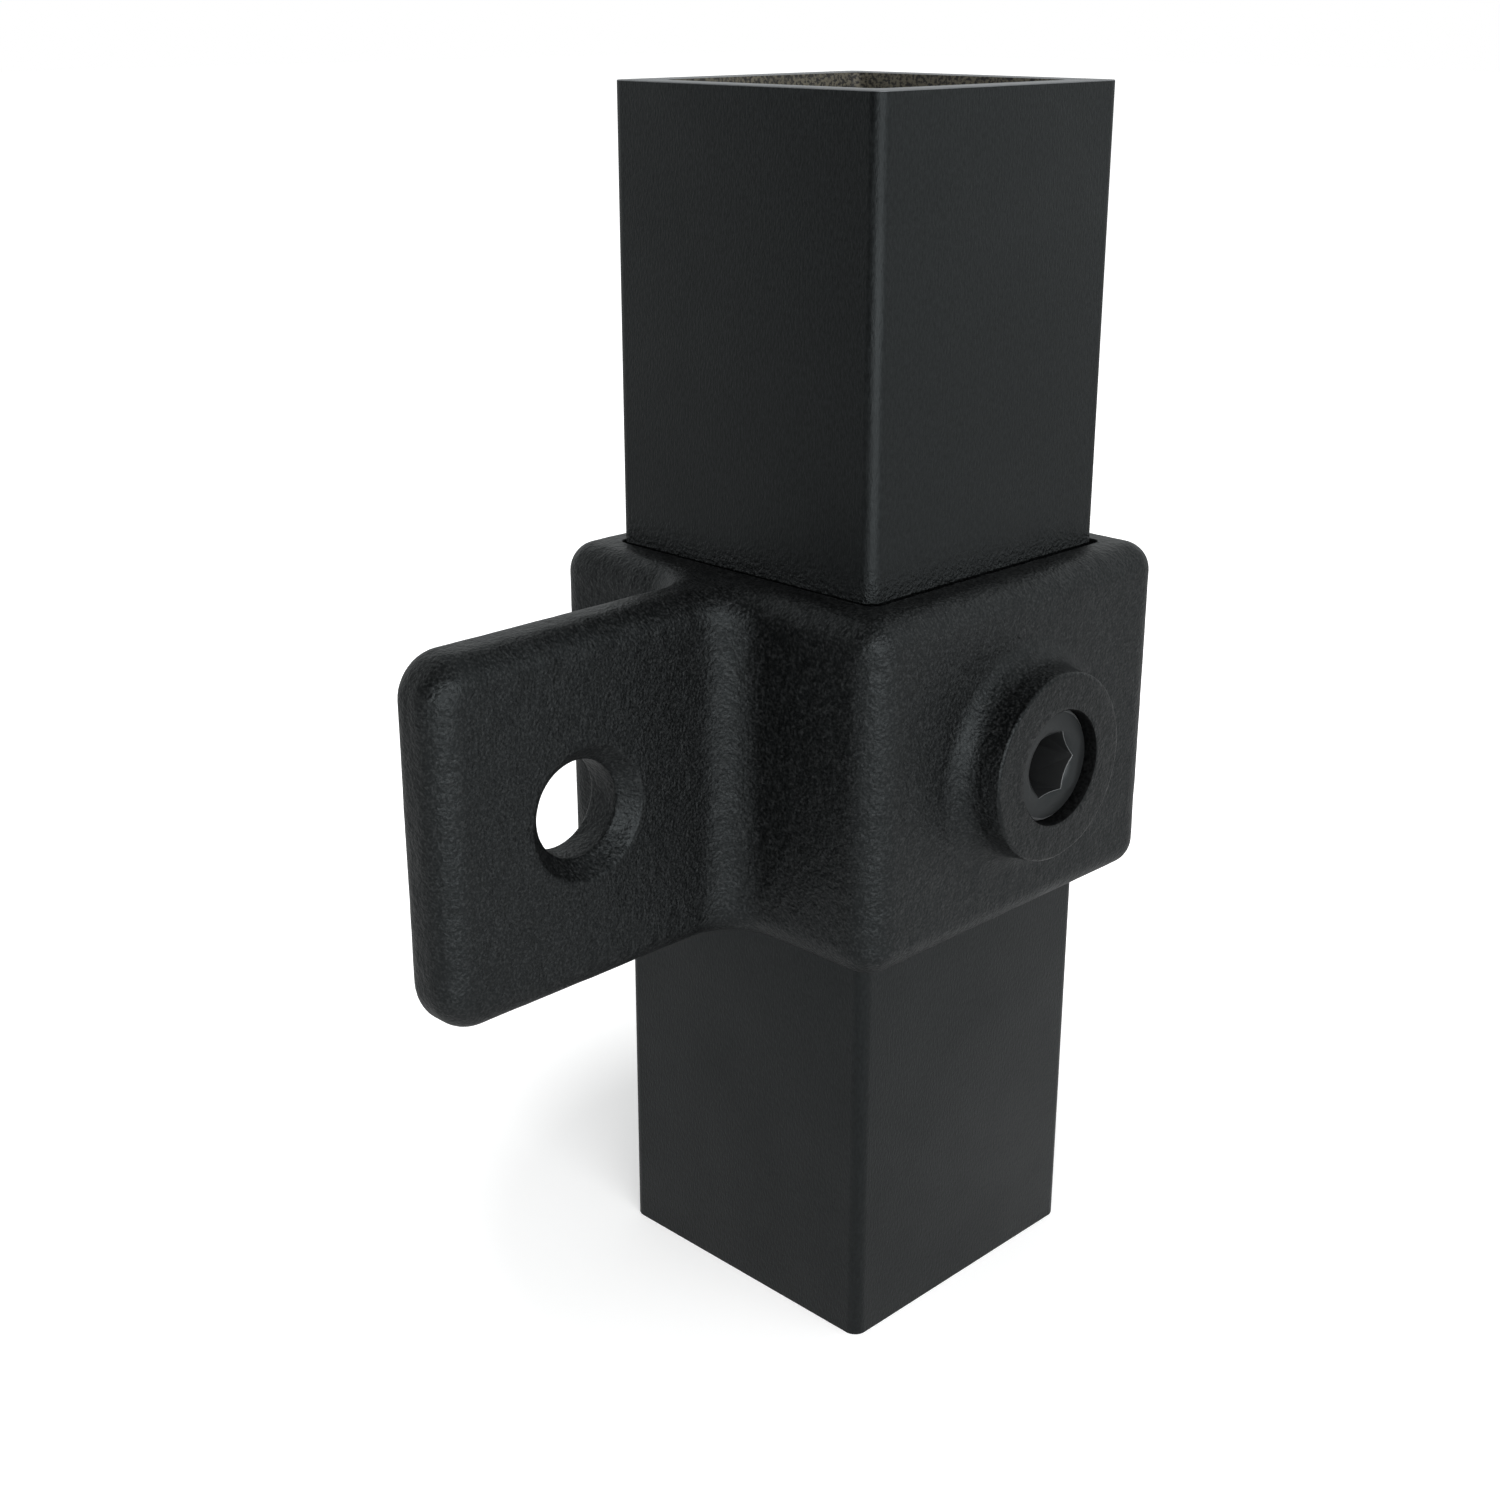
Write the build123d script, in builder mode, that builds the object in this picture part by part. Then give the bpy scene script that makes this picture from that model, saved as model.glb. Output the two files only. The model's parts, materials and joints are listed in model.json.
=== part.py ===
from build123d import *
import os
from math import radians, tan

os.makedirs("parts", exist_ok=True)

# A square sleeve casting with one drilled lug, held on a length of square tube by a set screw.
# Lengths are in millimetres. +Z runs up the tube, +X out through the set screw, -Y out along the lug.
# The origin is on the tube's axis, at its lower end.

# Square tube
tube_side = 40.0
tube_wall = 4.0
tube_length = 145.0
tube_corner_radius = 1.6
tube_inner_radius = 1.5

# Fit of the sleeve on the tube: the screw draws the sleeve sideways until its far wall bears
sleeve_clearance = 0.4
bearing_gap = 0.05

# Sleeve
sleeve_wall = 5.3
sleeve_height = 41.5
sleeve_lower_end = 51.1
sleeve_corner_radius = 4.0
sleeve_hole_radius = 1.2
cast_edge_radius = 3.5

# Lug
lug_thickness = 8.3
lug_reach = 40.8
lug_end_radius = 5.2
lug_root_radius = 5.0
lug_hole_diameter = 11.0
lug_hole_from_sleeve = 21.1
countersink_diameter = 15.2
countersink_angle = 90.0

# Boss for the set screw
boss_diameter = 22.2
boss_height = 5.3
boss_draft = 6.0
boss_root_radius = 3.0
boss_edge_radius = 0.5

# Set screw with a quarter inch pipe thread, drawn at the thread's outside diameter
screw_diameter = 13.16
screw_length = 10.0
screw_rim_chamfer = 0.35
screw_tip_chamfer = 1.2
screw_tip_gap = 0.05
thread_clearance = 0.08
thread_entry_chamfer = 0.15

# Hexagon socket in the screw's head, with a shallow cone at its mouth, and the cup in its tip
socket_across_flats = 7.0
socket_depth = 5.5
socket_turn = 1.6
socket_cone_diameter = 8.3
socket_cone_angle = 120.0
cup_diameter = 7.0
cup_angle = 118.0

# Width of the band in which an edge counts as lying at a given place
pick = 0.01

# Places that follow from the sizes
sleeve_shift = sleeve_clearance - bearing_gap
sleeve_hole_side = tube_side + 2 * sleeve_clearance
sleeve_side = sleeve_hole_side + 2 * sleeve_wall
sleeve_middle = sleeve_lower_end + sleeve_height / 2
sleeve_face = sleeve_shift + sleeve_side / 2
lug_end = sleeve_side / 2 + lug_reach
lug_hole_from_axis = sleeve_side / 2 + lug_hole_from_sleeve
threaded_hole_radius = screw_diameter / 2 + thread_clearance
screw_tip = tube_side / 2 + screw_tip_gap
screw_head = screw_tip + screw_length
socket_cone_depth = socket_cone_diameter / 2 / tan(radians(socket_cone_angle / 2))
cup_depth = cup_diameter / 2 / tan(radians(cup_angle / 2))

sleeve_floor = Plane((sleeve_shift, 0, sleeve_lower_end))
boss_root = Plane((sleeve_face, 0, sleeve_middle), x_dir=(0, 1, 0), z_dir=(1, 0, 0))
boss_face = boss_root.offset(boss_height)
lug_front = Plane(
    (sleeve_shift + lug_thickness / 2, -lug_hole_from_axis, sleeve_middle), z_dir=(1, 0, 0)
)
lug_back = Plane(
    (sleeve_shift - lug_thickness / 2, -lug_hole_from_axis, sleeve_middle), z_dir=(-1, 0, 0)
)
screw_section = Plane((0, 0, sleeve_middle))
screw_axis = Axis((0, 0, sleeve_middle), (1, 0, 0))
screw_head_face = Plane((screw_head, 0, sleeve_middle), x_dir=(0, 1, 0), z_dir=(1, 0, 0))


# Length of square tube, sawn off square at both ends
with BuildPart() as square_tube:
    with BuildSketch():
        RectangleRounded(tube_side, tube_side, tube_corner_radius)
        bore_side = tube_side - 2 * tube_wall
        RectangleRounded(bore_side, bore_side, tube_inner_radius, mode=Mode.SUBTRACT)
    extrude(amount=tube_length)
square_tube.part.label = "square_tube"
export_step(square_tube.part, "parts/square_tube.step")


# Sleeve, lug and screw boss, cast in one piece
with BuildPart() as sleeve_casting:
    # Plan of the sleeve and its lug, with a hollow radius where the lug leaves the sleeve
    with BuildSketch(sleeve_floor) as plan:
        RectangleRounded(sleeve_side, sleeve_side, sleeve_corner_radius)
        with Locations((0, -lug_end / 2)):
            Rectangle(lug_thickness, lug_end)
        lug_root = (sleeve_shift, -sleeve_side / 2, sleeve_lower_end)
        fillet(plan.vertices().sort_by_distance(lug_root)[:2], lug_root_radius)
    extrude(amount=sleeve_height)

    # Rounded end corners of the lug, then one soft radius along every outer edge of the casting
    lug_corners = sleeve_casting.edges().filter_by(Axis.X).group_by(Axis.Y)[0]
    fillet(lug_corners, lug_end_radius)
    outer_edges = sleeve_casting.edges().filter_by(Axis.Y)
    fillet(outer_edges, cast_edge_radius)

    # Drafted boss on the clamping side, with a broken rim and a hollow radius at its root
    with BuildSketch(boss_root):
        Circle(boss_diameter / 2 + boss_height * tan(radians(boss_draft)))
    extrude(amount=boss_height, taper=boss_draft)
    rings = sleeve_casting.edges().filter_by(GeomType.CIRCLE)
    fillet(rings.sort_by(Axis.X)[-1], boss_edge_radius)
    rings = sleeve_casting.edges().filter_by(GeomType.CIRCLE)
    fillet(rings.filter_by_position(Axis.X, sleeve_face - pick, sleeve_face + pick), boss_root_radius)

    # Square hole for the tube, right through
    with BuildSketch(sleeve_floor):
        RectangleRounded(sleeve_hole_side, sleeve_hole_side, sleeve_hole_radius)
    extrude(amount=sleeve_height, mode=Mode.SUBTRACT)

    # Threaded hole through the boss and one wall, at the thread's outside diameter, with an eased mouth
    with Locations(boss_face):
        Hole(threaded_hole_radius, depth=boss_height + sleeve_wall + sleeve_clearance)
    rings = sleeve_casting.edges().filter_by(GeomType.CIRCLE)
    chamfer(rings.group_by(Axis.X)[-1].sort_by(SortBy.RADIUS)[0], thread_entry_chamfer)

    # Hole through the lug, countersunk from both faces
    with Locations(lug_front, lug_back):
        CounterSinkHole(
            lug_hole_diameter / 2, countersink_diameter / 2, lug_thickness, countersink_angle
        )
sleeve_casting.part.label = "sleeve_casting"
export_step(sleeve_casting.part, "parts/sleeve_casting.step")


# Headless set screw with a cup point and a hexagon socket
with BuildPart() as set_screw:
    # Half section, turned about the screw's axis: cup, tip chamfer, barrel, rim chamfer, socket's cone
    with BuildSketch(screw_section):
        with BuildLine():
            Polyline(
                (screw_tip + cup_depth, 0),
                (screw_tip, cup_diameter / 2),
                (screw_tip, screw_diameter / 2 - screw_tip_chamfer),
                (screw_tip + screw_tip_chamfer, screw_diameter / 2),
                (screw_head - screw_rim_chamfer, screw_diameter / 2),
                (screw_head, screw_diameter / 2 - screw_rim_chamfer),
                (screw_head, socket_cone_diameter / 2),
                (screw_head - socket_cone_depth, 0),
                close=True,
            )
        make_face()
    revolve(axis=screw_axis)

    # Hexagon socket
    with BuildSketch(screw_head_face):
        RegularPolygon(
            socket_across_flats / 2, 6, major_radius=False, rotation=socket_turn
        )
    extrude(amount=-socket_depth, mode=Mode.SUBTRACT)
set_screw.part.label = "set_screw"
export_step(set_screw.part, "parts/set_screw.step")
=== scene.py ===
import json
from math import cos, pi, radians, sin

import bmesh
import bpy
from mathutils import Matrix, Vector, noise


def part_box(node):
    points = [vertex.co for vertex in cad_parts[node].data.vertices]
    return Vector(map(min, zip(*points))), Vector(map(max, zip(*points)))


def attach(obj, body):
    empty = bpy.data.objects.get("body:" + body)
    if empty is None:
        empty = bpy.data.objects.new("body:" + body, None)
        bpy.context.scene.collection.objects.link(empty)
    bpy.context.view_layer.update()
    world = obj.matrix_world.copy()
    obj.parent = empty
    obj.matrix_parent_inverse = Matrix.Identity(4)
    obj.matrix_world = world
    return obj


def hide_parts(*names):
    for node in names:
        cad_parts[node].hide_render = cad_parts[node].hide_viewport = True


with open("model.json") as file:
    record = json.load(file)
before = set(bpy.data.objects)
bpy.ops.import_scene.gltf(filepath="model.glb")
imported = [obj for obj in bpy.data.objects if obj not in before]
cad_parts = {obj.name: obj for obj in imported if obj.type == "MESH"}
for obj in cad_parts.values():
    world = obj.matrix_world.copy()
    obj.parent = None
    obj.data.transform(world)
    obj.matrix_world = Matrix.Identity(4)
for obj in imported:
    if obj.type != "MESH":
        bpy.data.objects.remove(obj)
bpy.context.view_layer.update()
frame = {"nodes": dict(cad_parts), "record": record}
nodes = frame["nodes"]
mm = 0.001


# Small helpers, used by the pieces below

def boxOf(name):
    low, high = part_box(name)
    return low, high, (low + high) / 2


def mountPlace(name):
    return next(Vector(m["pos_m"]) for m in frame["record"]["mounts"] if m["name"] == name)


def mergedCopy(name):
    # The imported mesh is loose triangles, so its copy is merged before anything is cut from it
    bm = bmesh.new()
    bm.from_mesh(nodes[name].data)
    bmesh.ops.remove_doubles(bm, verts=bm.verts, dist=0.001 * mm)
    bmesh.ops.dissolve_limit(bm, angle_limit=radians(0.1), verts=bm.verts, edges=bm.edges)
    return bm


def smoothMesh(mesh, angle):
    mesh.shade_smooth()
    mesh.set_sharp_from_angle(angle=radians(angle))


def finishPiece(bm, name, materials, smoothAngle=30.0):
    mesh = bpy.data.meshes.new(name)
    bm.to_mesh(mesh)
    bm.free()
    piece = bpy.data.objects.new(name, mesh)
    bpy.context.scene.collection.objects.link(piece)
    for material in materials:
        mesh.materials.append(material)
    smoothMesh(mesh, smoothAngle)
    print(name, len(mesh.polygons), "faces")
    return piece


def sharpEdges(bm, angle):
    return [e for e in bm.edges if len(e.link_faces) == 2 and e.calc_face_angle() > radians(angle)]


def bevelEdges(bm, edges, width, segments=2):
    made = bmesh.ops.bevel(
        bm, geom=edges, offset=width, segments=segments, profile=0.5, affect="EDGES", material=-1,
    )
    return made["faces"]


def easeFolds(bm, angle, turns=4):
    # A few of the smallest triangles can fold over in a cut or a move, so their corners are eased
    for turn in range(turns):
        bm.normal_update()
        folded = {v for e in sharpEdges(bm, angle) for v in e.verts}
        bmesh.ops.smooth_vert(
            bm, verts=list(folded), factor=0.5, use_axis_x=True, use_axis_y=True, use_axis_z=True,
        )
        print("folded corners eased", len(folded))


def applyBoolean(piece, tool, operation):
    modifier = piece.modifiers.new("cut", "BOOLEAN")
    modifier.operation = operation
    modifier.solver = "EXACT"
    modifier.object = tool
    bpy.context.view_layer.update()
    depsgraph = bpy.context.evaluated_depsgraph_get()
    cut = bpy.data.meshes.new_from_object(piece.evaluated_get(depsgraph))
    piece.modifiers.clear()
    old = piece.data
    piece.data = cut
    bpy.data.meshes.remove(old)
    bpy.data.objects.remove(tool)


def cutAt(bm, place, normal, clearOuter=False, clearInner=False):
    geom = bm.verts[:] + bm.edges[:] + bm.faces[:]
    bmesh.ops.bisect_plane(
        bm, geom=geom, dist=0.0001 * mm, plane_co=place, plane_no=normal,
        clear_outer=clearOuter, clear_inner=clearInner,
    )


# Material helpers

def newMaterial(name):
    material = bpy.data.materials.new(name)
    material.use_nodes = True
    tree = material.node_tree
    return material, tree, tree.nodes["Principled BSDF"]


def addNode(tree, kind, values=None, **settings):
    made = tree.nodes.new("ShaderNode" + kind)
    for key, value in settings.items():
        setattr(made, key, value)
    for key, value in (values or {}).items():
        if isinstance(value, bpy.types.NodeSocket):
            tree.links.new(value, made.inputs[key])
        else:
            made.inputs[key].default_value = value
    return made


def objectPoint(tree, stretch=(1.0, 1.0, 1.0)):
    point = addNode(tree, "TexCoord").outputs["Object"]
    return addNode(tree, "Mapping", {"Vector": point, "Scale": stretch}).outputs["Vector"]


def addNoise(tree, point, period, detail=2.0, rough=0.5):
    values = {"Vector": point, "Scale": 1.0 / period, "Detail": detail, "Roughness": rough}
    return addNode(tree, "TexNoise", values).outputs["Fac"]


def addRange(tree, value, fromLow, fromHigh, toLow=0.0, toHigh=1.0):
    values = {
        "Value": value, "From Min": fromLow, "From Max": fromHigh, "To Min": toLow, "To Max": toHigh,
    }
    return addNode(tree, "MapRange", values).outputs["Result"]


def addMath(tree, operation, first, second):
    return addNode(tree, "Math", {0: first, 1: second}, operation=operation).outputs[0]


def addMix(tree, factor, colourA, colourB):
    mix = addNode(tree, "Mix", data_type="RGBA")
    for socket, value in zip((mix.inputs[0], mix.inputs[6], mix.inputs[7]), (factor, colourA, colourB)):
        if isinstance(value, bpy.types.NodeSocket):
            tree.links.new(value, socket)
        else:
            socket.default_value = value if isinstance(value, float) else (*value, 1.0)
    return mix.outputs[2]


def addBump(tree, height, depth, normal=None, strength=1.0):
    values = {"Height": height, "Distance": depth, "Strength": strength}
    if normal is not None:
        values["Normal"] = normal
    return addNode(tree, "Bump", values).outputs["Normal"]


# What is the same all over a finish goes straight on the shader's sockets
plainSockets = {
    "metallic": "Metallic",
    "rough": "Roughness",
    "specular": "Specular IOR Level",
    "gloss": "Specular Tint",
}


def dressShader(tree, shader, look, colour, normal):
    tree.links.new(colour, shader.inputs["Base Color"])
    if normal is not None:
        tree.links.new(normal, shader.inputs["Normal"])
    for key, socket in plainSockets.items():
        if key in look:
            shader.inputs[socket].default_value = look[key]


def patchRough(tree, shader, look):
    # Large faint patches that are a little more or less matt
    patch = addNoise(tree, objectPoint(tree), look["patchPeriod"], detail=3.0)
    rough = addRange(tree, patch, *look["patchShown"], look["roughLow"], look["roughHigh"])
    tree.links.new(rough, shader.inputs["Roughness"])


# Finishes

# Gloss of the black coats, a little cool as in the photograph
coolGloss = (0.905, 1.0, 1.03, 1.0)

castCoat = {
    "colour": (0.0137, 0.0143, 0.0145),
    "colourDeep": (0.0001, 0.0001, 0.0001),
    "swellPeriod": 2.6 * mm,
    "swellDepth": 0.20 * mm,
    "creasePeriod": 1.15 * mm,
    "creaseDepth": 0.130 * mm,
    "grainPeriod": 0.37 * mm,
    "grainDepth": 0.115 * mm,
    "finePeriod": 0.30 * mm,
    "fineDepth": 0.02 * mm,
    "fineShown": (0.47, 0.72),
    "patchPeriod": 9.0 * mm,
    "patchShown": (0.3, 0.7),
    "roughLow": 0.49,
    "roughHigh": 0.56,
    "specular": 0.257,
    "gloss": coolGloss,
}

# The same coat, smoother on the boss's face
bossCoat = {
    **castCoat,
    "creaseDepth": 0.05 * mm,
    "grainDepth": 0.08 * mm,
    "roughLow": 0.40,
    "roughHigh": 0.44,
    "specular": 0.21,
}


def makeCastCoat(name, coat):
    material, tree, shader = newMaterial(name)
    point = objectPoint(tree)
    swell = addNoise(tree, point, coat["swellPeriod"])
    crease = addNoise(tree, point, coat["creasePeriod"], detail=1.0)
    grain = addNoise(tree, point, coat["grainPeriod"], detail=1.0)
    fine = addNoise(tree, point, coat["finePeriod"])
    normal = addBump(tree, swell, coat["swellDepth"])
    normal = addBump(tree, crease, coat["creaseDepth"], normal)
    normal = addBump(tree, grain, coat["grainDepth"], normal)
    normal = addBump(tree, fine, coat["fineDepth"], normal)
    raised = addRange(tree, fine, *coat["fineShown"])
    dressShader(tree, shader, coat, addMix(tree, raised, coat["colourDeep"], coat["colour"]), normal)
    patchRough(tree, shader, coat)
    return material


tubeCoat = {
    "colour": (0.0045, 0.0051, 0.0053),
    "colourDeep": (0.0006, 0.0007, 0.0007),
    "colourWorn": (0.0080, 0.0085, 0.0087),
    "stretch": (1.0, 1.0, 0.4),
    "grainPeriod": 0.26 * mm,
    "grainDepth": 0.055 * mm,
    "grainShown": (0.38, 0.62),
    "scuffReach": 7.0 * mm,
    "scuffFall": 2.2,
    "scuffPeriod": 0.42 * mm,
    "scuffDepth": 0.40 * mm,
    "speckPeriod": 0.30 * mm,
    "speckShown": (0.48, 0.64),
    "gapReach": 0.30 * mm,
    "gapDepth": 0.34 * mm,
    "patchPeriod": 14.0 * mm,
    "patchShown": (0.3, 0.7),
    "roughLow": 0.44,
    "roughHigh": 0.52,
    "specular": 0.215,
    "gloss": coolGloss,
}


def makeTubeCoat(name, coat):
    material, tree, shader = newMaterial(name)
    point = objectPoint(tree)
    stretched = objectPoint(tree, coat["stretch"])
    grain = addNoise(tree, stretched, coat["grainPeriod"], detail=3.0, rough=0.6)
    normal = addBump(tree, grain, coat["grainDepth"])
    # Scuffed coat round the sleeve's upper end, where it has been slid and clamped
    top = boxOf("sleeve_casting")[1].z
    height = addNode(tree, "SeparateXYZ", {"Vector": point}).outputs["Z"]
    fromTop = addMath(tree, "ABSOLUTE", addMath(tree, "SUBTRACT", height, top), 0.0)
    scuff = addRange(tree, fromTop, coat["scuffReach"], 0.0)
    scuff = addMath(tree, "POWER", scuff, coat["scuffFall"])
    rubbed = addNoise(tree, point, coat["scuffPeriod"])
    normal = addBump(tree, rubbed, coat["scuffDepth"], normal, scuff)
    # Just inside the gap the coat bends away, which draws the dark line round the tube
    gap = addRange(tree, height, top - coat["gapReach"], top)
    normal = addBump(tree, gap, coat["gapDepth"], normal)
    tone = addRange(tree, grain, *coat["grainShown"])
    colour = addMix(tree, tone, coat["colourDeep"], coat["colour"])
    specks = addRange(tree, addNoise(tree, point, coat["speckPeriod"]), *coat["speckShown"])
    worn = addMath(tree, "MULTIPLY", specks, scuff)
    dressShader(tree, shader, coat, addMix(tree, worn, colour, coat["colourWorn"]), normal)
    patchRough(tree, shader, coat)
    return material


boreSteel = {
    "colour": (0.108, 0.098, 0.073),
    "colourPale": (0.064, 0.058, 0.042),
    "colourDark": (0.012, 0.011, 0.010),
    "pitPeriod": 0.50 * mm,
    "pitDepth": 0.10 * mm,
    "pitShown": (0.44, 0.54),
    "patchPeriod": 6.0 * mm,
    "metallic": 0.25,
    "rough": 0.62,
}


def makeBoreSteel(name, steel):
    material, tree, shader = newMaterial(name)
    point = objectPoint(tree)
    pits = addNoise(tree, point, steel["pitPeriod"], detail=3.0, rough=0.6)
    patch = addNoise(tree, point, steel["patchPeriod"], detail=3.0)
    shown = addRange(tree, pits, *steel["pitShown"])
    tint = addMix(tree, patch, steel["colourPale"], steel["colour"])
    colour = addMix(tree, shown, steel["colourDark"], tint)
    dressShader(tree, shader, steel, colour, addBump(tree, pits, steel["pitDepth"]))
    return material


cutSteel = {
    "colour": (0.160, 0.166, 0.174),
    "colourDark": (0.098, 0.102, 0.107),
    "stretch": (1.0, 0.08, 1.0),
    "sawPeriod": 0.35 * mm,
    "sawDepth": 0.01 * mm,
    "metallic": 0.6,
    "rough": 0.50,
}


def makeCutSteel(name, steel):
    # The saw has left fine lines along Y
    material, tree, shader = newMaterial(name)
    marks = addNoise(tree, objectPoint(tree, steel["stretch"]), steel["sawPeriod"])
    colour = addMix(tree, marks, steel["colourDark"], steel["colour"])
    dressShader(tree, shader, steel, colour, addBump(tree, marks, steel["sawDepth"]))
    return material


# Near-black, almost unglossy finish of the threads: partly their own colour, partly painted shade of
# the deep hole
threadBlackAndShade = {
    "colour": (0.0046, 0.0049, 0.0050),
    "colourDark": (0.0012, 0.0013, 0.0014),
    "grainPeriod": 0.4 * mm,
    "grainDepth": 0.06 * mm,
    "tornPeriod": 0.35 * mm,
    "tornShown": (0.4, 0.65),
    "rough": 0.70,
    "specular": 0.02,
}


def makeThreadBlackAndShade(name, look):
    material, tree, shader = newMaterial(name)
    point = objectPoint(tree)
    grain = addNoise(tree, point, look["grainPeriod"], detail=3.0)
    torn = addRange(tree, addNoise(tree, point, look["tornPeriod"], detail=3.0), *look["tornShown"])
    colour = addMix(tree, torn, look["colourDark"], look["colour"])
    dressShader(tree, shader, look, colour, addBump(tree, grain, look["grainDepth"]))
    return material


screwBlack = {
    "colour": (0.0104, 0.0111, 0.0115),
    "colourDark": (0.0083, 0.0090, 0.0093),
    "patchPeriod": 1.6 * mm,
    "grainPeriod": 0.3 * mm,
    "grainDepth": 0.002 * mm,
    "rough": 0.42,
    "specular": 0.22,
    "gloss": coolGloss,
}

socketBlack = {
    "colour": (0.0088, 0.0094, 0.0098),
    "colourDark": (0.0062, 0.0067, 0.0070),
    "patchPeriod": 1.2 * mm,
    "rough": 0.45,
    "specular": 0.30,
}

# Bright metal where the coat is worn off the screw's edges, partly real wear and partly a painted
# highlight
wornSteelAndHighlight = {
    "colour": (0.20, 0.21, 0.215),
    "colourDark": (0.07, 0.073, 0.075),
    "patchPeriod": 0.9 * mm,
    "metallic": 0.3,
    "rough": 0.48,
}


def makeScrewFinish(name, look):
    # Two tones in patches, with a faint grain where the finish has one
    material, tree, shader = newMaterial(name)
    point = objectPoint(tree)
    patch = addNoise(tree, point, look["patchPeriod"], detail=3.0)
    normal = None
    if "grainDepth" in look:
        normal = addBump(tree, addNoise(tree, point, look["grainPeriod"]), look["grainDepth"])
    dressShader(tree, shader, look, addMix(tree, patch, look["colourDark"], look["colour"]), normal)
    return material


castFinish = makeCastCoat("castCoat", castCoat)
bossFinish = makeCastCoat("bossCoat", bossCoat)
tubeFinish = makeTubeCoat("tubeCoat", tubeCoat)
boreFinish = makeBoreSteel("boreSteel", boreSteel)
cutFinish = makeCutSteel("cutSteel", cutSteel)
threadShadeFinish = makeThreadBlackAndShade("threadBlackAndShade", threadBlackAndShade)
screwFinish = makeScrewFinish("screwBlack", screwBlack)
socketFinish = makeScrewFinish("socketBlack", socketBlack)
wornAndHighlightFinish = makeScrewFinish("wornSteelAndHighlight", wornSteelAndHighlight)
print("finishes made")


# Square tube: coated outside, bare and pitted inside, with sawn ends

tubeSet = {
    "wall": 4.0 * mm,
    "rimAngle": 60.0,
    "rimBevel": 0.10 * mm,
    "cutBand": 0.11 * mm,
    "upright": 0.9,
}


def makeTube(tube):
    high = boxOf("square_tube")[1]
    bm = mergedCopy("square_tube")
    inside = high.x - tube["wall"] / 2
    bevelEdges(bm, sharpEdges(bm, tube["rimAngle"]), tube["rimBevel"])
    # Bare inside, sawn ends, and coat everywhere else, down over the lower edge
    for face in bm.faces:
        centre = face.calc_center_median()
        endFace = abs(face.normal.z) > tube["upright"]
        if not endFace and max(abs(centre.x), abs(centre.y)) < inside:
            face.material_index = 1
        elif endFace or centre.z > high.z - tube["cutBand"]:
            face.material_index = 2
    piece = finishPiece(bm, "tubeLength", [tubeFinish, boreFinish, cutFinish])
    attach(piece, "tube")
    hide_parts("square_tube")


makeTube(tubeSet)


# Sleeve casting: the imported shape, cut into a fine grid and given the uneven skin of a sand casting

skinSet = {
    "sharpAngle": 35.0,
    "lugHole": 8.0 * mm,
    "edgeBevel": 0.18 * mm,
    "endBand": 0.01 * mm,
    "endBevel": 0.10 * mm,
    "grid": 0.8 * mm,
    "merge": 0.05 * mm,
    "boreMargin": 0.8 * mm,
    "mouthRadius": 7.2 * mm,
    "swell": 4.5 * mm,
    "swellDepth": 0.07 * mm,
    "ripple": 1.9 * mm,
    "rippleDepth": 0.045 * mm,
    "rippleShift": (7, 3, 5),
    "foldAngle": 110.0,
    "threadWall": 6.85 * mm,
    "outFacing": 0.99,
    "rimBand": 0.5 * mm,
    "smoothAngle": 32.0,
}


def acrossAxis(place, axisPoint):
    # How far a place is from the screw's axis, or from another line along X
    return Vector((place.y - axisPoint.y, place.z - axisPoint.z)).length


def bevelCasting(bm, skin, low, high):
    lugHole = mountPlace("lug_hole")
    atLug, atEnd = [], []
    for edge in sharpEdges(bm, skin["sharpAngle"]):
        place = (edge.verts[0].co + edge.verts[1].co) / 2
        if acrossAxis(place, lugHole) < skin["lugHole"]:
            atLug.append(edge)
        elif min(place.z - low.z, high.z - place.z) < skin["endBand"]:
            atEnd.append(edge)
    bevelEdges(bm, atEnd, skin["endBevel"])
    bevelEdges(bm, [e for e in atLug if e.is_valid], skin["edgeBevel"])


def cutGrid(bm, low, high, step):
    for axis in range(3):
        count = int((high[axis] - low[axis]) / step)
        for k in range(1, count):
            place = Vector((0, 0, 0))
            place[axis] = low[axis] + k * step
            normal = Vector((0, 0, 0))
            normal[axis] = 1
            cutAt(bm, place, normal)


def roughenSkin(bm, skin, axisPoint, tubeFace):
    # The skin only sinks in, and the tube's hole and the screw's mouth stay true
    moves = []
    for vert in bm.verts:
        place = vert.co
        if max(abs(place.x), abs(place.y)) < tubeFace + skin["boreMargin"]:
            continue
        if place.x > tubeFace and acrossAxis(place, axisPoint) < skin["mouthRadius"]:
            continue
        swell = 0.5 + 0.5 * noise.noise(place / skin["swell"])
        ripple = 0.5 + 0.5 * noise.noise(place / skin["ripple"] + Vector(skin["rippleShift"]))
        moves.append((vert, swell * skin["swellDepth"] + ripple * skin["rippleDepth"]))
    for vert, depth in moves:
        vert.co -= vert.normal * depth


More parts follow.
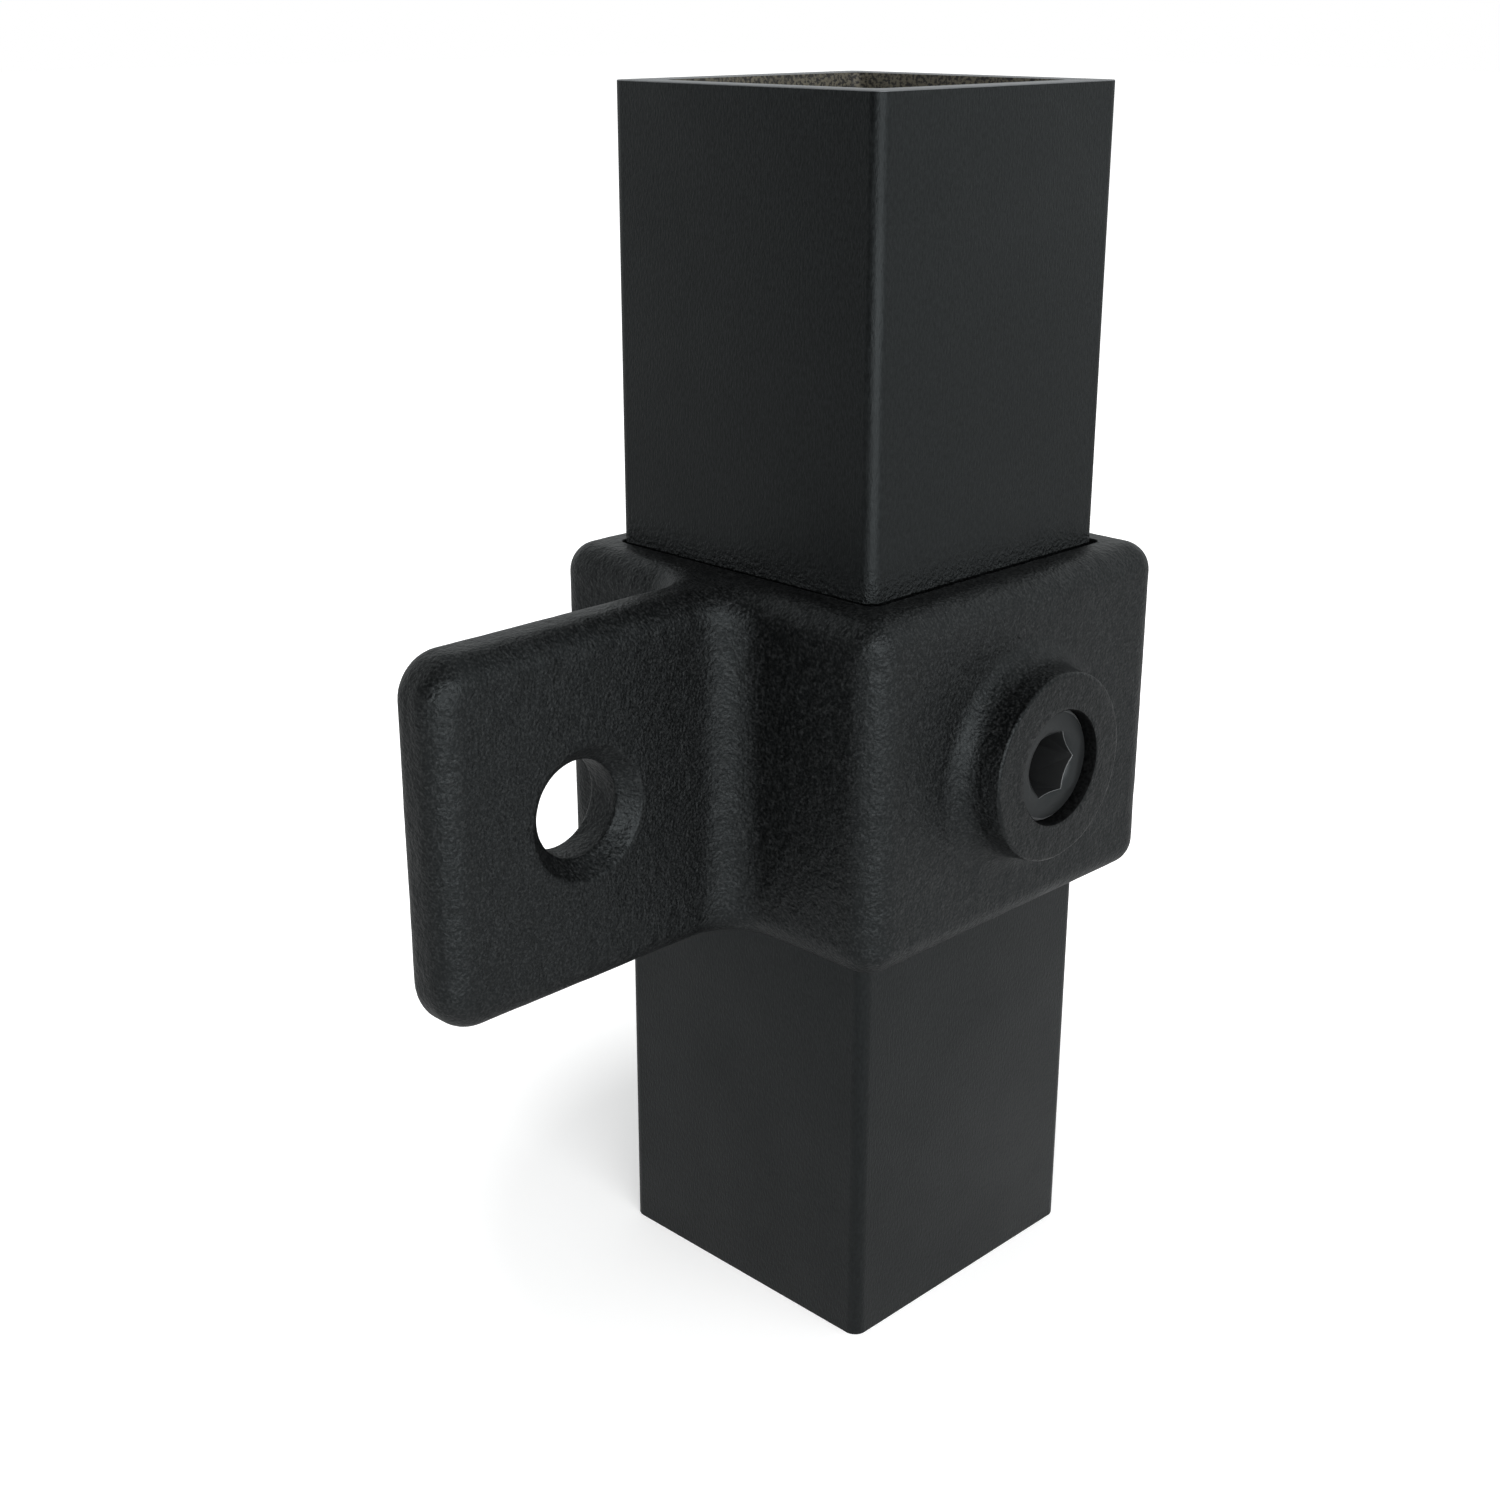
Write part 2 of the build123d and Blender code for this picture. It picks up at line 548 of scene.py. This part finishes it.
def makeCasting(skin):
    low, high, middle = boxOf("sleeve_casting")
    axisPoint = Vector((0, 0, middle.z))
    tubeFace = boxOf("square_tube")[1].x
    bm = mergedCopy("sleeve_casting")
    bevelCasting(bm, skin, low, high)
    cutGrid(bm, low, high, skin["grid"])
    bmesh.ops.remove_doubles(bm, verts=bm.verts, dist=skin["merge"])
    bmesh.ops.dissolve_degenerate(bm, edges=bm.edges, dist=skin["merge"] / 4)
    bmesh.ops.triangulate(bm, faces=bm.faces)
    bm.normal_update()
    roughenSkin(bm, skin, axisPoint, tubeFace)
    easeFolds(bm, skin["foldAngle"])
    # Thread wall inside the boss darker and barely glossy, partly its own black and partly painted
    # shade of the deep hole; smoother coat on the boss's face
    for face in bm.faces:
        centre = face.calc_center_median()
        inMouth = centre.x > tubeFace and acrossAxis(centre, axisPoint) < skin["threadWall"]
        if inMouth and face.normal.x < skin["outFacing"]:
            face.material_index = 1
        elif centre.x > high.x - skin["rimBand"]:
            face.material_index = 2
    finishes = [castFinish, threadShadeFinish, bossFinish]
    piece = finishPiece(bm, "castSleeve", finishes, skin["smoothAngle"])
    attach(piece, "sleeve")
    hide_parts("sleeve_casting")


makeCasting(skinSet)


# Threads of the set screw and of its hole, wound from one profile so that they mesh

threadSet = {
    "pitch": 25.4 / 19 * mm,
    "outerRadius": 6.55 * mm,
    "depth": 0.856 * mm,
    "clearance": 0.06 * mm,
    "steps": 72,
    "leadIn": 2.5,  # in pitches
    "spareTurns": 3,
    "merge": 0.002 * mm,
    "profile": (
        (0.00, 0.00), (0.09, 0.06), (0.16, 0.20), (0.34, 0.80), (0.41, 0.94),
        (0.50, 1.00), (0.59, 0.94), (0.66, 0.80), (0.84, 0.20), (0.91, 0.06),
    ),
    "liningFrom": 20.85 * mm,
    "liningTo": 28.6 * mm,
    "liningRadius": 6.64 * mm,
    "liningSmooth": 40.0,
}

screwSet = {
    "collarRadius": 6.62 * mm,
    "collarFrom": 1.35 * mm,
    "collarRise": 0.45 * mm,
    "endMargin": 0.4 * mm,
    "socketReach": 4.3 * mm,
    "socketTilt": 0.05,
    "coneDeep": 2.5 * mm,
    "edgeAngle": 25.0,
    "edgeBevel": 0.04 * mm,
    "chamferFacing": (0.3, 0.9),
    "smallest": 0.01 * mm,
    "foldAngle": 120.0,
    "smoothAngle": 26.0,
}


def windThread(bm, thread, axisPoint, endX, extra):
    # A wavy line along the axis makes one full turn and moves on by one pitch as it goes
    startX = thread["liningFrom"] - thread["leadIn"] * thread["pitch"]
    turns = int((endX - startX) / thread["pitch"]) + thread["spareTurns"]
    root = thread["outerRadius"] - thread["depth"] + extra
    line = []
    for turn in range(turns):
        for along, height in thread["profile"]:
            radius = root + height * thread["depth"]
            x = startX + (turn + along) * thread["pitch"]
            line.append(bm.verts.new((x, 0, axisPoint.z + radius)))
    edges = [bm.edges.new(pair) for pair in zip(line, line[1:])]
    bmesh.ops.spin(
        bm, geom=line + edges, cent=axisPoint, axis=(1, 0, 0), angle=2 * pi,
        dvec=(thread["pitch"] / thread["steps"], 0, 0), steps=thread["steps"], use_merge=False,
    )
    bmesh.ops.remove_doubles(bm, verts=bm.verts, dist=thread["merge"])


def trimEnds(bm, ends):
    cutAt(bm, (ends[0], 0, 0), (1, 0, 0), clearInner=True)
    cutAt(bm, (ends[1], 0, 0), (1, 0, 0), clearOuter=True)


def loopAt(bm, x):
    return [e for e in bm.edges if e.is_boundary and all(abs(v.co.x - x) < 0.001 * mm for v in e.verts)]


def makeLining(thread):
    axisPoint = Vector((0, 0, boxOf("sleeve_casting")[2].z))
    ends = (thread["liningFrom"], thread["liningTo"])
    bm = bmesh.new()
    windThread(bm, thread, axisPoint, ends[1], thread["clearance"])
    trimEnds(bm, ends)
    # The plain outside of the lining, which lies on the hole's wall
    circle = bmesh.ops.create_circle(bm, segments=thread["steps"], radius=thread["liningRadius"])
    wall = circle["verts"]
    bmesh.ops.rotate(bm, verts=wall, cent=(0, 0, 0), matrix=Matrix.Rotation(pi / 2, 3, "Y"))
    bmesh.ops.translate(bm, verts=wall, vec=(ends[0], 0, axisPoint.z))
    rim = [e for e in bm.edges if all(v in wall for v in e.verts)]
    moved = bmesh.ops.extrude_edge_only(bm, edges=rim)["geom"]
    moved = [g for g in moved if isinstance(g, bmesh.types.BMVert)]
    bmesh.ops.translate(bm, verts=moved, vec=(ends[1] - ends[0], 0, 0))
    for x in ends:
        bmesh.ops.bridge_loops(bm, edges=loopAt(bm, x))
    bmesh.ops.recalc_face_normals(bm, faces=bm.faces)
    piece = finishPiece(bm, "sleeveThread", [threadShadeFinish], thread["liningSmooth"])
    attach(piece, "sleeve")


def makeThreadBlank(thread, screw, low, high, axisPoint):
    bm = bmesh.new()
    windThread(bm, thread, axisPoint, high.x, 0.0)
    # The thread runs out into a plain collar under the head
    for vert in bm.verts:
        rise = (vert.co.x - (high.x - screw["collarFrom"])) / screw["collarRise"]
        if rise > 0:
            outward = Vector((0, vert.co.y, vert.co.z - axisPoint.z))
            grown = outward.normalized() * screw["collarRadius"] - outward
            vert.co += grown * min(rise, 1.0)
    ends = (low.x - screw["endMargin"], high.x + screw["endMargin"])
    trimEnds(bm, ends)
    for x in ends:
        bmesh.ops.contextual_create(bm, geom=loopAt(bm, x))
    bmesh.ops.triangulate(bm, faces=[f for f in bm.faces if len(f.verts) > 4])
    bmesh.ops.recalc_face_normals(bm, faces=bm.faces)
    return finishPiece(bm, "threadBlank", [screwFinish])


def wearAndHighlightScrew(bm, screw, high, axisPoint):
    # Socket walls, their edge against the shallow cone, and the chamfer round the head; the edge and
    # the chamfer get bright metal that is partly wear and partly painted highlight
    def fromAxis(face):
        return acrossAxis(face.calc_center_median(), axisPoint)

    walls = [f for f in bm.faces
             if abs(f.normal.x) < screw["socketTilt"] and fromAxis(f) < screw["socketReach"]]
    corner = [e for e in sharpEdges(bm, screw["edgeAngle"])
              if sum(f in walls for f in e.link_faces) == 1
              and min(v.co.x for v in e.verts) > high.x - screw["coneDeep"]]
    for face in walls:
        face.material_index = 2
    # Painted highlight, partly real wear: bright metal on the bevelled socket edge
    for face in bevelEdges(bm, corner, screw["edgeBevel"], segments=1):
        face.material_index = 1
    # Painted highlight, partly real wear: bright metal on the head's chamfer
    flat, steep = screw["chamferFacing"]
    for face in bm.faces:
        if flat < face.normal.x < steep and fromAxis(face) > screw["socketReach"]:
            face.material_index = 1


def makeScrew(thread, screw):
    low, high, middle = boxOf("set_screw")
    axisPoint = Vector((0, 0, middle.z))
    blank = makeThreadBlank(thread, screw, low, high, axisPoint)
    bm = mergedCopy("set_screw")
    wearAndHighlightScrew(bm, screw, high, axisPoint)
    piece = finishPiece(bm, "setScrewThreaded", [screwFinish, wornAndHighlightFinish, socketFinish])
    applyBoolean(piece, blank, "INTERSECT")
    bm = bmesh.new()
    bm.from_mesh(piece.data)
    bmesh.ops.remove_doubles(bm, verts=bm.verts, dist=thread["merge"])
    bmesh.ops.dissolve_degenerate(bm, edges=bm.edges, dist=screw["smallest"])
    easeFolds(bm, screw["foldAngle"])
    print("screw open edges", sum(e.is_boundary for e in bm.edges), "faces", len(bm.faces))
    bm.to_mesh(piece.data)
    bm.free()
    smoothMesh(piece.data, screw["smoothAngle"])
    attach(piece, "screw")
    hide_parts("set_screw")


makeLining(threadSet)
makeScrew(threadSet, screwSet)


# Floor, white behind the object, with the object's soft shadow kept

floorSet = {
    "half": 4.0,
    "colour": (0.80, 0.80, 0.80),
    "lift": 0.420,
    "farLift": 1.0,
    "glossLift": 0.155,
    "fadeFrom": 0.045,
    "fadeTo": 0.095,
}


def makeFloor(floor):
    bm = bmesh.new()
    bmesh.ops.create_grid(bm, x_segments=4, y_segments=4, size=floor["half"])
    material, tree, shader = newMaterial("floorWhite")
    tree.nodes.remove(shader)
    output = tree.nodes["Material Output"]
    rays = addNode(tree, "LightPath").outputs
    # The shadow stays near the object; farther off the floor fades into the white backdrop
    away = addNode(tree, "VectorMath", {0: objectPoint(tree)}, operation="LENGTH").outputs["Value"]
    fade = addRange(tree, away, floor["fadeFrom"], floor["fadeTo"], floor["lift"], floor["farLift"])
    seen = addMath(tree, "MULTIPLY", rays["Is Camera Ray"], fade)
    mirrored = addMath(tree, "MAXIMUM", rays["Is Glossy Ray"], rays["Is Transmission Ray"])
    mirrored = addMath(tree, "MULTIPLY", mirrored, floor["glossLift"])
    lift = addMath(tree, "ADD", seen, mirrored)
    glow = addNode(tree, "Emission", {"Strength": lift}).outputs[0]
    matt = addNode(tree, "BsdfDiffuse", {"Color": (*floor["colour"], 1.0)}).outputs[0]
    both = addNode(tree, "AddShader", {0: matt, 1: glow})
    tree.links.new(both.outputs[0], output.inputs["Surface"])
    piece = finishPiece(bm, "studioFloor", [material])


makeFloor(floorSet)


# Light: a broad soft lamp low on the right, a faint one on the left and one that shapes the shadow,
# in a pale room whose camera side is dark in the object's gloss

lightSet = {
    "aim": (0, 0, 0.07),
    "key": {"turn": -30.5, "rise": 13.0, "away": 1.1, "wide": 1.08, "tall": 0.48, "power": 12.6},
    "left": {"turn": -150.0, "rise": 9.0, "away": 1.1, "wide": 0.70, "tall": 0.50, "power": 0.40},
    "shadow": {"turn": -26.0, "rise": 50.0, "away": 1.1, "wide": 1.4, "tall": 1.4, "power": 9.0},
    "room": 0.45,
    "roomTint": (0.970, 1.0, 1.004),
    "backdrop": (1.0, 1.0, 1.0),
    "darkSide": (0.30, -0.81, 0.50),
    "darkCore": 0.62,
    "darkEdge": 0.30,
    "darkLevel": 0.0,
}


def makeLamp(name, lamp, aim):
    data = bpy.data.lights.new(name, "AREA")
    data.shape = "RECTANGLE"
    data.size = lamp["wide"]
    data.size_y = lamp["tall"]
    data.energy = lamp["power"]
    turn, rise = radians(lamp["turn"]), radians(lamp["rise"])
    away = Vector((cos(turn) * cos(rise), sin(turn) * cos(rise), sin(rise)))
    made = bpy.data.objects.new(name, data)
    made.location = Vector(aim) + away * lamp["away"]
    made.rotation_euler = away.to_track_quat("Z", "Y").to_euler()
    bpy.context.scene.collection.objects.link(made)
    return made


def makeRoom(light):
    world = bpy.data.worlds.new("paleRoom")
    world.use_nodes = True
    bpy.context.scene.world = world
    tree = world.node_tree
    sky = tree.nodes["Background"]
    rays = addNode(tree, "LightPath").outputs
    tint = addMix(tree, rays["Is Camera Ray"], light["roomTint"], light["backdrop"])
    tree.links.new(tint, sky.inputs["Color"])
    shown = addMath(tree, "MAXIMUM", rays["Is Glossy Ray"], rays["Is Transmission Ray"])
    shown = addMath(tree, "MAXIMUM", shown, rays["Is Camera Ray"])
    # Gloss shows the white backdrop, and less of the unlit side behind the camera
    facing = addNode(tree, "TexCoord").outputs["Generated"]
    values = {0: facing, 1: light["darkSide"]}
    toward = addNode(tree, "VectorMath", values, operation="DOT_PRODUCT").outputs["Value"]
    shade = addRange(tree, toward, light["darkEdge"], light["darkCore"], 1.0, light["darkLevel"])
    shade = addMath(tree, "MAXIMUM", rays["Is Camera Ray"], shade)
    level = addRange(tree, shown, 0.0, 1.0, light["room"], 1.0)
    tree.links.new(addMath(tree, "MULTIPLY", shade, level), sky.inputs["Strength"])


makeLamp("keyLamp", lightSet["key"], lightSet["aim"])
makeLamp("leftLamp", lightSet["left"], lightSet["aim"])
# The black coats don't mirror this one, which deepens the shadow on the floor
makeLamp("shadowLamp", lightSet["shadow"], lightSet["aim"]).visible_glossy = False
makeRoom(lightSet)
print("light made")


# Camera, at the photograph's place and angle

viewSet = {
    "place": (162.33 * mm, -180.74 * mm, 154.19 * mm),
    "tilt": 70.01,
    "turn": 44.96,
    "lens": 50.064,
    "sensor": 36.0,
    "clipFrom": 0.01,
    "clipTo": 50.0,
}


def makeCamera(view):
    data = bpy.data.cameras.new("photoView")
    data.sensor_width = view["sensor"]
    data.lens = view["lens"]
    data.clip_start = view["clipFrom"]
    data.clip_end = view["clipTo"]
    camera = bpy.data.objects.new("photoView", data)
    camera.location = view["place"]
    camera.rotation_euler = (radians(view["tilt"]), 0, radians(view["turn"]))
    bpy.context.scene.collection.objects.link(camera)
    bpy.context.scene.camera = camera


makeCamera(viewSet)
bpy.context.scene.view_settings.view_transform = "Standard"
